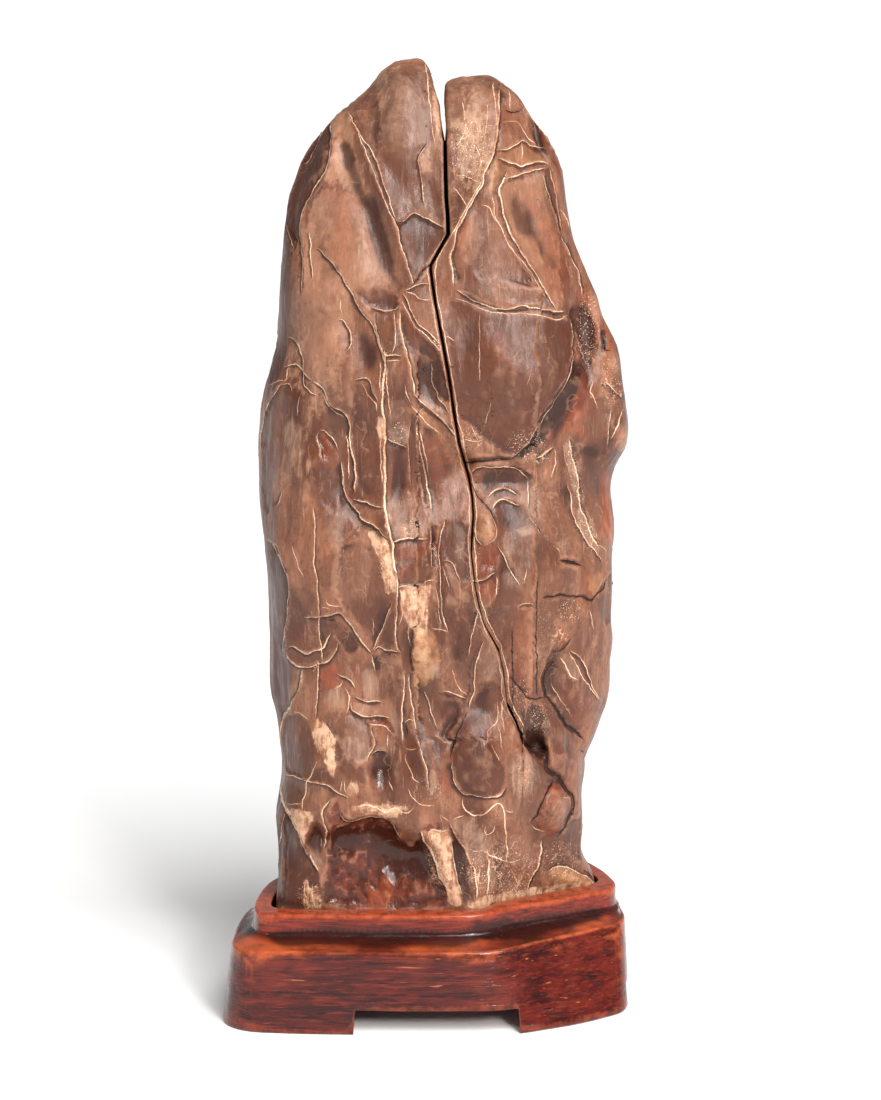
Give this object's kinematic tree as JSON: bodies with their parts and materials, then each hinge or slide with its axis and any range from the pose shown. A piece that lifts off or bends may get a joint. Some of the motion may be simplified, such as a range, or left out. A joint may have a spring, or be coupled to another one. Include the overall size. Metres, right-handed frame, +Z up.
{
  "type": "scholar stone on a stand",
  "caption": "Tall split column of brown-red stone with two peaks, a deep front fissure and pale ridges, resting in the rimmed recess of a footed hardwood stand.",
  "frame": {"origin": "on the resting plane below the middle of the stand's outer box", "axes": "+Z up along the stone, -Y towards the side with the fissure, +X to the right of someone facing that side"},
  "size_m": [0.2112, 0.128, 0.4873],
  "materials": {
    "stone": "satin, waxed natural stone with pale ridges",
    "stand_wood": "semi-gloss lacquered dark red hardwood"
  },
  "bodies": {
    "root": {"stone": "stone", "stand": "stand_wood"}
  },
  "joints": []
}
